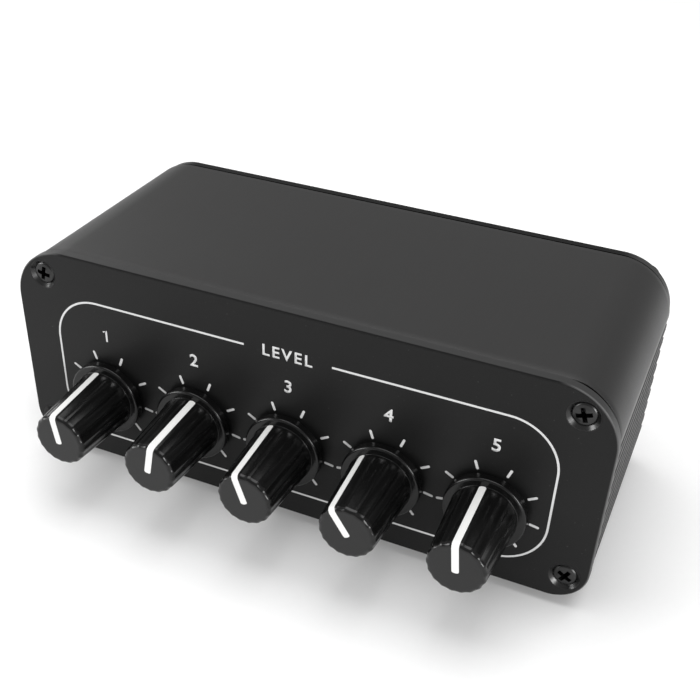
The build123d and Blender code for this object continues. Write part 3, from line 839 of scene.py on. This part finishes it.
def board_finish():
    """Green solder mask over etched tracks, seen as slightly paler runs."""
    mix = Finish("board_mask", specular=0.5)
    weave = mix.grain(0.4, 2)
    cells = {"Vector": mix.place, "Scale": 1 / (2.2 * MM)}
    tracks = node(mix.tree, "ShaderNodeTexVoronoi", cells, feature="DISTANCE_TO_EDGE", distance="EUCLIDEAN")
    line = mix.span(tracks.outputs["Distance"], 0.10, 0.14)
    colour = mix.blend(line, (0.02, 0.13, 0.05), (0.006, 0.06, 0.025))
    colour = mix.blend(mix.span(weave, 0.4, 0.7, 0.0, 0.2), colour, (0.03, 0.16, 0.07))
    return mix.done(colour, mix.span(weave, 0.3, 0.7, 0.22, 0.34), (line, -0.02))


FINISHES = {
    "case_metal": extrusion_finish(),
    "panel_metal": plate_finish(),
    "knob_plastic": knob_finish(),
    "foot_rubber": rubber_finish(),
    "board_laminate": board_finish(),
    "screw_metal": metal_finish("screw_plating", grey(0.05), 0.26, (60, 1, 1)),
    "print_white": painted_finish("screen_print", grey(0.58), 0.45),
    "pointer_white": painted_finish("pointer_inlay", grey(0.72, (1, 1, 0.985)), 0.38, 0.15, 0.03),
    "lead_metal": metal_finish("tinned_leads", grey(0.68, (1, 1, 0.97)), 0.3),
    "nut_metal": metal_finish("nickel_hardware", (0.70, 0.68, 0.64), 0.24),
    "shaft_metal": metal_finish("turned_aluminium", (0.76, 0.76, 0.77), 0.33, (60, 1, 60)),
    "shell_metal": metal_finish("nickel_collar", (0.78, 0.75, 0.70), 0.34, (60, 1, 60), 0.04),
    "contact_metal": metal_finish("spring_brass", (0.74, 0.58, 0.30), 0.28),
    "pot_plastic": moulded_finish("pot_moulding", grey(0.018), 0.5),
    "socket_plastic": moulded_finish("block_moulding", grey(0.012), 0.48),
    "red_plastic": moulded_finish("red_core", (0.50, 0.012, 0.014), 0.28, 0.3, 0.004),
    "white_plastic": moulded_finish("white_core", (0.74, 0.73, 0.70), 0.3, 0.3, 0.004),
    "chip_plastic": moulded_finish("chip_moulding", grey(0.016), 0.55, 0.15),
    "capacitor_sleeve": moulded_finish("can_sleeve", (0.02, 0.03, 0.07), 0.3, 0.5, 0.004),
    "converter_plastic": moulded_finish("converter_moulding", grey(0.03), 0.5, 0.3),
}

TURNED = turned_tree()
SET_OUT = set_out_tree()
RIBBED_TUBE = ribbed_tube_tree()


def turned_mesh(name, corners, sides, **flutes):
    """A turned piece about Y, from its outline's corners. It is plain where no flutes are given."""
    values = {"Sides": sides, "Flutes": 1, "Flute_Width": 1.0, "Flute_Depth": 0.0}
    values.update({"Flute_Start": -1.0, "Flute_Full": -2.0, "Flute_End": -3.0, "Flute_Fade": 1.0}, **flutes)
    return settle(TURNED.make(name, outline_run(corners), **values))


def set_out_mesh(name, mesh, places, turns, finish):
    """Copies of a mesh at places, each turned about Y by its own angle in degrees."""
    piece = add_object(name + "_one", mesh)
    marks = points_mesh(name + "_places", places, turn=[math.radians(t) for t in turns])
    made = SET_OUT.make(name, marks, Piece=piece, Finish=FINISHES[finish])
    bpy.data.objects.remove(piece)
    made.polygons.foreach_set("use_smooth", [True] * len(made.polygons))
    return made


def put(name, mesh, body, slot, *nodes):
    """A finished piece that rides on a body, wears its slot's finish and stands for its nodes."""
    mesh.materials.clear()
    mesh.materials.append(FINISHES[slot])
    piece = add_object(name, mesh)
    mesh.name = name
    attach(piece, body)
    if nodes:
        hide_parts(*nodes)
    return piece


# Case


def case_tube():
    """The extruded tube: grooved flanks, softened ends, and a thin gap behind each panel.

    The front gap is open at the upper corners alone, and the rear one along the whole top.
    """
    found = case_outline(TUBE_INSET, TUBE_FLAT_STEP)
    found.append(found[0])
    flank_x = CASE_HALF - TUBE_INSET - FLANK_REACH
    spots = [(p.x, 0, p.y) for p, _, _ in found]
    inward = [(d.x, 0, d.y) for _, d, _ in found]
    marks = []
    for p, _, top in found:
        corner = min(1.0, 1.6 * top)
        level = abs(p.x) < CASE_HALF - TOP_CORNER / 2 and p.y > CASE_TOP - TOP_CORNER
        marks.append((1.0 if abs(p.x) > flank_x else 0.0, corner, 1.0 - corner if level else 0.0))
    outline = points_mesh("tube_outline", spots, inward=inward, marks=marks)
    b, gap, deep, under = TUBE_BEVEL, GAP_LENGTH, GAP_DEPTH, GAP_UNDERCUT
    front, rear = TUBE_LOW.y, TUBE_HIGH.y
    middle = (front + rear) / 2
    run = [
        ((front + b, 0, 1), (gap, 0, 0)),
        ((front + b * 0.4, b * 0.25, 1), (gap, 0, 0)),
        ((front, b, 1), (gap, 0, 0)),
        ((front, b * 1.2, 1), (under, deep, 0)),
        ((front, b * 1.4, 1), (0, deep, 0)),
        ((front, TUBE_WALL, 0), (0, 0, 0)),
        ((middle, TUBE_WALL, 0), (0, 0, 0)),
        ((rear, TUBE_WALL, 0), (0, 0, 0)),
        ((rear, b * 1.4, 1), (0, deep, 1)),
        ((rear, b * 1.2, 1), (-under, deep, 1)),
        ((rear, b, 1), (-gap, 0, 1)),
        ((rear - b * 0.4, b * 0.25, 1), (-gap, 0, 1)),
        ((rear - b, 0, 1), (-gap, 0, 1)),
    ]
    for share in (0.95, 0.75, 0.5, 0.25, 0.05):
        run.append(((front + (rear - front) * share, 0, 1), (0, 0, 0)))
    run.append(run[0])
    spots = [(n, 0, 0) for n in range(len(run))]
    places, reliefs = zip(*run)
    holder = add_object("stations", points_mesh("stations", spots, place=places, relief=reliefs))
    sizes = {"Groove_Count": GROOVE_COUNT, "Groove_Radius": GROOVE_RADIUS, "Groove_Depth": GROOVE_DEPTH}
    sizes["Groove_Low"] = CASE_BOTTOM + BOTTOM_CORNER + GROOVE_MARGIN
    sizes["Groove_High"] = CASE_TOP - TOP_CORNER - GROOVE_MARGIN
    mesh = RIBBED_TUBE.make("case_tube", outline, Stations=holder, **sizes)
    bpy.data.objects.remove(holder)
    put("case_tube", settle(mesh, 24), "case", "case_metal", "extruded_case")


def screw_holes(thick):
    """The countersunk corner holes of a plate."""
    sink = [(SINK_RADIUS + SINK_EDGE, 0), (SINK_RADIUS - SINK_EDGE / 2, SINK_EDGE)]
    sink += [(SCREW_HOLE, SINK_RADIUS - SCREW_HOLE), (SCREW_HOLE, thick)]
    return [(x, z, HOLE_SIDES, sink) for x, z in SCREW_SPOTS]


def round_hole(x, z, radius, thick):
    return (x, z, HOLE_SIDES, [(radius + HOLE_EDGE, 0), (radius, HOLE_EDGE), (radius, thick)])


def panels():
    thick = FRONT_HIGH.y - FRONT_Y
    holes = screw_holes(thick) + [round_hole(spot.x, spot.z, BUSHING_HOLE, thick) for spot, _ in DIALS]
    mesh = plate_mesh("front_plate", 0, FRONT_Y, FRONT_HIGH.y, holes)
    put("front_plate", mesh, "case", "panel_metal", "front_panel")
    holes = screw_holes(thick) + [round_hole(x, z, COLLAR_HOLE, thick) for x, z in SOCKET_SPOTS]
    holes.append(round_hole(JACK_X, JACK_Z, JACK_HOLE, thick))
    mesh = plate_mesh("rear_plate", REAR_INSET, REAR_Y, REAR_LOW.y, holes)
    put("rear_plate", mesh, "case", "panel_metal", "rear_panel")


def cross_cutter():
    """Two tapered blades that cut a cross recess, wider at the mouth."""
    work = bmesh.new()
    for turn in (0, 90):
        corners = []
        for y, long, wide in CROSS_RECESS:
            spots = ((-long, -wide), (long, -wide), (long, wide), (-long, wide))
            corners.append(ring(work, spots, y))
        for before, after in zip(corners, corners[1:]):
            bridge(work, before, after)
        work.faces.new(corners[0])
        work.faces.new(corners[-1])
        fresh = [v for loop in corners for v in loop]
        bmesh.ops.rotate(work, verts=fresh, matrix=Matrix.Rotation(math.radians(turn), 3, "Y"))
    bmesh.ops.recalc_face_normals(work, faces=work.faces)
    mesh = bpy.data.meshes.new("cutter")
    work.to_mesh(mesh)
    work.free()
    return mesh


def screw_mesh():
    """A domed countersunk screw along Y with its head at the front, its panel's face at y 0."""
    corners = SCREW_HEAD + [(SHANK_RADIUS, SHANK_START, 0), (SHANK_RADIUS, SHANK_END, 0)]
    corners += [(SCREW_POINT, SCREW_LENGTH, 0), (0, SCREW_LENGTH, 0)]
    body = add_object("screw", turned_mesh("screw", corners, FINE_SIDES))
    cutter = add_object("cutter", cross_cutter())
    cut = body.modifiers.new("recess", "BOOLEAN")
    cut.object = cutter
    cut.solver = "EXACT"
    cut.use_self = True
    graph = bpy.context.evaluated_depsgraph_get()
    mesh = bpy.data.meshes.new_from_object(body.evaluated_get(graph))
    bpy.data.objects.remove(body)
    bpy.data.objects.remove(cutter)
    return settle(mesh)


def sink_lining():
    """The thin bright wall of one countersink."""
    outer, inner = SINK_RADIUS - LINING_GAP, SINK_RADIUS - LINING_GAP - LINING_THICK
    foot = LINING_LIP + LINING_DEPTH
    corners = [(outer, LINING_LIP, 0), (outer - LINING_DEPTH, foot, 0), (inner - LINING_DEPTH, foot, 0)]
    corners += [(inner, LINING_LIP, 0), (outer, LINING_LIP, 0)]
    return turned_mesh("lining", corners, FINE_SIDES)


def at_corners(name, one, side, turns, *nodes):
    """One copy of a piece at each corner of the front or the rear panel."""
    places = [(x, FRONT_Y if side == "front" else -REAR_Y, z) for x, z in SCREW_SPOTS]
    mesh = set_out_mesh(name, one, places, turns, "screw_metal")
    if side == "rear":
        mesh.transform(Matrix.Rotation(math.pi, 4, "Z"))
    put(name, mesh, "case", "screw_metal", *nodes)


def screws():
    """Both panels' screws, and the linings of their countersinks."""
    for side in ("front", "rear"):
        at_corners(side + "_screws", screw_mesh(), side, SCREW_TURNS[side], side + "_panel_screws")
    for side in ("front", "rear"):
        at_corners(side + "_sinks", sink_lining(), side, [0] * len(SCREW_SPOTS))


def feet():
    """Round rubber feet, dished underneath, each narrowing towards the table."""
    corners = FOOT_TREAD + [(FOOT_RADIUS, FOOT_HEIGHT, 0), (0, FOOT_HEIGHT, 0)]
    one = turned_mesh("foot", corners, ROUND_SIDES)
    one.transform(Matrix.Rotation(math.radians(90), 4, "X"))
    low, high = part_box("rubber_feet")
    places = []
    for x in (low.x + FOOT_RADIUS, high.x - FOOT_RADIUS):
        places += [(x, low.y + FOOT_RADIUS, 0), (x, high.y - FOOT_RADIUS, 0)]
    mesh = set_out_mesh("feet", one, places, [0] * len(places), "foot_rubber")
    put("feet", mesh, "case", "foot_rubber", "rubber_feet")


# Print


def rounded_frame(left, right, low, high, radius):
    """Points clockwise round a rounded frame, from the middle of its top."""
    points = []
    for n, (x, z) in enumerate(((right, high), (right, low), (left, low), (left, high))):
        centre = Vector((x - radius if x > 0 else x + radius, z - radius if z == high else z + radius))
        for k in range(FRAME_STEPS + 1):
            angle = math.radians(90 * n + 90 * k / FRAME_STEPS)
            points.append(centre + Vector((math.sin(angle), math.cos(angle))) * radius)
    return points


def tick_mesh():
    """One tick with rounded ends, pointing up, its back on y 0."""
    half = TICK_WIDTH / 2
    around = []
    for middle, start in ((TICK_OUTER - half, -90), (TICK_INNER + half, 90)):
        for k in range(9):
            angle = math.radians(start + 22.5 * k)
            around.append((half * math.sin(angle), middle + half * math.cos(angle)))
    work = bmesh.new()
    loops = [ring(work, around, y) for y in (-PRINT_THICK, 0)]
    bridge(work, *loops)
    for loop in loops:
        work.faces.new(loop)
    mesh = bpy.data.meshes.new("tick")
    work.to_mesh(mesh)
    work.free()
    return settle(mesh)


def digit_mesh(number, height):
    """A printed number. The one is drawn with a flag, which the plain font leaves out."""
    if number != 1:
        return text_mesh(str(number), height)
    mesh = strip_mesh([Vector(spot) * height for spot in ONE_STROKE], PRINT_LINE, PRINT_THICK)
    mesh.transform(FACING_FRONT.inverted())
    return mesh


def front_print():
    """The printed frame with its legend, each dial's ticks and the dials' numbers."""
    reach = CASE_HALF - FRAME_SIDE
    high = CASE_TOP - FRAME_TOP
    run = rounded_frame(-reach, reach, CASE_BOTTOM + FRAME_BOTTOM, high, FRAME_CORNER)
    run = [Vector((LEGEND_GAP[1], high))] + run + [Vector((LEGEND_GAP[0], high))]
    line = strip_mesh(run, PRINT_LINE, PRINT_THICK)
    line.transform(Matrix.Translation((0, FRONT_Y, 0)))
    places, turns = [], []
    for spot, _ in DIALS:
        for n in range(TICK_COUNT):
            places.append((spot.x, FRONT_Y, spot.z))
            turns.append(DIAL_TRAVEL * 2 * n / (TICK_COUNT - 1) - DIAL_TRAVEL)
    ticks = set_out_mesh("ticks", tick_mesh(), places, turns, "print_white")
    found = [line, ticks]
    legend = text_mesh("LEVEL", LEGEND_HEIGHT, LEGEND_SPACING)
    found.append(printed(legend, FACING_FRONT, sum(LEGEND_GAP) / 2, FRONT_Y, high))
    for n, (spot, _) in enumerate(DIALS):
        digit = digit_mesh(n + 1, DIGIT_HEIGHT)
        found.append(printed(digit, FACING_FRONT, spot.x, FRONT_Y, CASE_BOTTOM + DIGIT_RISE))
    put("front_print", joined_mesh("front_print", found), "case", "print_white", "scale_print")


def rear_print():
    """Plain marks beside the sockets: numbers for the outputs, IN for the input, left and right."""
    found = []
    columns = sorted({x for x, _ in SOCKET_SPOTS}, reverse=True)
    rows = sorted({z for _, z in SOCKET_SPOTS})
    for n, x in enumerate(columns):
        words = digit_mesh(n, REAR_MARK_HEIGHT) if n else text_mesh("IN", REAR_MARK_HEIGHT)
        found.append(printed(words, FACING_REAR, x, REAR_Y, rows[1] + REAR_NUMBER_RISE))
    for words, z in zip(("R", "L"), rows):
        mark = text_mesh(words, REAR_MARK_HEIGHT)
        found.append(printed(mark, FACING_REAR, columns[0] + REAR_SIDE_OFFSET, REAR_Y, z))
    middle = (columns[0] + columns[1]) / 2
    run = [Vector((-middle, rows[0] - REAR_LINE_REACH)), Vector((-middle, rows[1] + REAR_LINE_REACH))]
    line = strip_mesh(run, PRINT_LINE, PRINT_THICK)
    line.transform(Matrix.Translation((0, REAR_Y, 0)) @ Matrix.Rotation(math.pi, 4, "Z"))
    found.append(line)
    put("rear_print", joined_mesh("rear_print", found), "case", "print_white")


# Knobs


def pointer_mesh():
    """The white line up the knob's side and across its face, crowned, with softened ends."""
    start = -(SKIRT_FRONT + POINTER_START)
    slope = (KNOB_BASE - KNOB_TIP) / (KNOB_LENGTH - SKIRT_FRONT)
    corners = [(KNOB_BASE - slope * POINTER_START, start, 0)]
    corners.append((KNOB_TIP, -KNOB_LENGTH, KNOB_ROUND + POINTER_RAISE))
    corners.append((-POINTER_PAST_CENTRE, -KNOB_LENGTH, 0))
    spots = [Vector((v.co.x, v.co.y)) for v in outline_run(corners, 0.4 * MM, 0.05 * MM).vertices]
    lengths = [0.0]
    for before, after in zip(spots, spots[1:]):
        lengths.append(lengths[-1] + (after - before).length)
    half, tail = POINTER_WIDTH / 2, POINTER_TAIL
    extra = [tail * share for share in (0.05, 0.15, 0.35, 0.6, 1.0)]
    extra += [lengths[-1] - stop for stop in extra]
    stops = sorted(set(lengths) | set(extra))
    work = bmesh.new()
    loops = []
    for stop in stops:
        n = max(1, next((k for k, length in enumerate(lengths) if length >= stop), len(lengths) - 1))
        share = (stop - lengths[n - 1]) / (lengths[n] - lengths[n - 1])
        spot = spots[n - 1].lerp(spots[n], share)
        run = (spots[n] - spots[n - 1]).normalized()
        if share > 0.999 and n + 1 < len(spots):
            run = (run + (spots[n + 1] - spots[n]).normalized()).normalized()
        out = Vector((-run.y, run.x))
        short = max(0, tail - stop, tail - lengths[-1] + stop)
        wide = max(half - tail + math.sqrt(max(0, tail**2 - short**2)), POINTER_END)
        loop = [(-wide, -POINTER_INLAY)]
        for k in range(7):
            share = k / 3 - 1
            loop.append((wide * share, POINTER_RAISE * (1 - 0.5 * share**4)))
        loop.append((wide, -POINTER_INLAY))
        loops.append([work.verts.new((x, (spot + out * h).y, (spot + out * h).x)) for x, h in loop])
    for first, second in zip(loops, loops[1:]):
        bridge(work, first, second)
    work.faces.new(loops[0])
    work.faces.new(loops[-1])
    mesh = bpy.data.meshes.new("pointer")
    work.to_mesh(mesh)
    work.free()
    return settle(mesh, 35)


def knobs():
    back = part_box("knob_1")[1].y
    flutes = {"Flutes": FLUTE_COUNT, "Flute_Width": FLUTE_WIDTH, "Flute_Depth": FLUTE_DEPTH}
    flutes.update({"Flute_Start": -FLUTE_START, "Flute_Full": -FLUTE_FULL})
    flutes.update({"Flute_End": -KNOB_LENGTH, "Flute_Fade": FLUTE_FADE})
    for n, (spot, joint) in enumerate(DIALS):
        rest = math.radians(-DIAL_TRAVEL - joint["range_deg"][0])
        place = Matrix.Translation((spot.x, back, spot.z)) @ Matrix.Rotation(rest, 4, "Y")
        label = str(n + 1)
        body = turned_mesh("knob", KNOB_OUTLINE, FLUTE_COUNT * FLUTE_SIDES, **flutes)
        body.transform(place)
        put("knob_" + label + "_body", body, joint["child"], "knob_plastic", "knob_" + label)
        line = pointer_mesh()
        line.transform(place)
        put("knob_" + label + "_pointer", line, joint["child"], "pointer_white", "pointer_" + label)


# Sockets


def sockets():
    """The phono sockets: stepped nickel collars, coloured cores and sprung contacts."""
    root, tip, step = SHELL_LOW.y, SHELL_HIGH.y, REAR_Y + SHELL_STEP
    corners = [(SHELL_INNER, root, 0), (SHELL_ROOT, root, 0), (SHELL_ROOT, step, 0)]
    corners += [(SHELL_RADIUS, step, 0.12 * MM), (SHELL_RADIUS, tip, 0.25 * MM)]
    corners += [(SHELL_INNER, tip, 0.22 * MM), (SHELL_INNER, root, 0)]
    places = [(x, 0, z) for x, z in SOCKET_SPOTS]
    one = turned_mesh("collar", corners, FINE_SIDES)
    mesh = set_out_mesh("socket_collars", one, places, [0] * len(places), "shell_metal")
    put("socket_collars", mesh, "case", "shell_metal", *[name + "_socket_shells" for name in SOCKET_NAMES])
    front, end = CORE_LOW.y, CORE_HIGH.y
    mouth, seat = CONTACT_HIGH.y, CONTACT_LOW.y
    bore, wall, room = CONTACT_BORE, CONTACT_OUTER, CONTACT_OUTER + CONTACT_ROOM
    corners = [(0, seat, 0), (room, seat, 0), (room, mouth, 0), (bore, mouth, 0), (bore, end, 0.25 * MM)]
    corners += [(CORE_RADIUS, end, 0.3 * MM), (CORE_RADIUS, front, 0), (0, front, 0)]
    for row, word, slot in ((0, "red", "red_plastic"), (1, "white", "white_plastic")):
        one = turned_mesh("core", corners, ROUND_SIDES)
        mesh = set_out_mesh(word + "_cores", one, places[row::2], [0] * len(SOCKET_NAMES), slot)
        put(word + "_cores", mesh, "case", slot, word + "_insulators")
    corners = [(bore, seat, 0), (wall, seat, 0), (wall, mouth, 0), (bore, mouth, 0), (bore, seat, 0)]
    one = turned_mesh("contact", corners, SMALL_SIDES)
    mesh = set_out_mesh("socket_springs", one, places, [0] * len(places), "contact_metal")
    put("socket_springs", mesh, "case", "contact_metal", "socket_contacts")


def copied(node_name, piece_name, body, crease=30):
    """A merged copy of a solid with its curved faces smooth, which stands for the node."""
    mesh = frame["nodes"][node_name].data.copy()
    work = bmesh.new()
    work.from_mesh(mesh)
    bmesh.ops.remove_doubles(work, verts=work.verts, dist=1e-6)
    work.to_mesh(mesh)
    work.free()
    mesh.polygons.foreach_set("use_smooth", [True] * len(mesh.polygons))
    mesh.set_sharp_from_angle(angle=math.radians(crease))
    put(piece_name, mesh, body, SLOT_OF[node_name], node_name)


# Surroundings


def stage_and_lights():
    """A pale floor, a white room and soft lamps."""
    mesh = bpy.data.meshes.new("floor")
    reach = FLOOR_REACH
    corners = [(-reach, -reach, 0), (reach, -reach, 0), (reach, reach, 0), (-reach, reach, 0)]
    mesh.from_pydata(corners, [], [(0, 1, 2, 3)])
    mix = Finish("floor_paper", specular=0.1)
    fibre = mix.grain(1.2, 3)
    colour = mix.blend(fibre, grey(0.86), grey(0.88))
    mesh.materials.append(mix.done(colour, mix.span(fibre, 0.3, 0.7, 0.8, 0.9)))
    add_object("floor", mesh)
    world = bpy.data.worlds.new("room")
    bpy.context.scene.world = world
    world.use_nodes = True
    back = world.node_tree.nodes["Background"]
    back.inputs["Color"].default_value = (1, 1, 1, 1)
    back.inputs["Strength"].default_value = ROOM_LIGHT
    for name, wanted in LAMPS.items():
        lamp = bpy.data.lights.new(name, "AREA")
        lamp.size = wanted["size"]
        lamp.energy = wanted["power"]
        holder = add_object(name, lamp)
        holder.location = wanted["place"]
        holder.rotation_euler = (Vector(wanted["place"]) - LAMP_AIM).to_track_quat("Z", "Y").to_euler()


def camera():
    """The camera, placed and framed as the object was seen."""
    eye = bpy.data.cameras.new("camera")
    eye.lens = CAMERA_LENS
    eye.sensor_width = SENSOR_WIDTH
    eye.shift_x, eye.shift_y = CAMERA_SHIFT
    eye.clip_start, eye.clip_end = CAMERA_CLIP
    holder = add_object("camera", eye)
    holder.location = CAMERA_PLACE
    holder.rotation_euler = tuple(math.radians(angle) for angle in CAMERA_TURN)
    bpy.context.scene.camera = holder
    bpy.context.scene.view_settings.view_transform = "Standard"


camera()
stage_and_lights()
case_tube()
panels()
screws()
feet()
front_print()
rear_print()
knobs()
sockets()
copied("power_jack_housing", "jack_body", "case")
copied("power_jack_pin", "jack_pin", "case")
for node_name, solid in frame["nodes"].items():
    if not solid.hide_render:
        solid.data.materials.clear()
        solid.data.materials.append(FINISHES[SLOT_OF[node_name]])
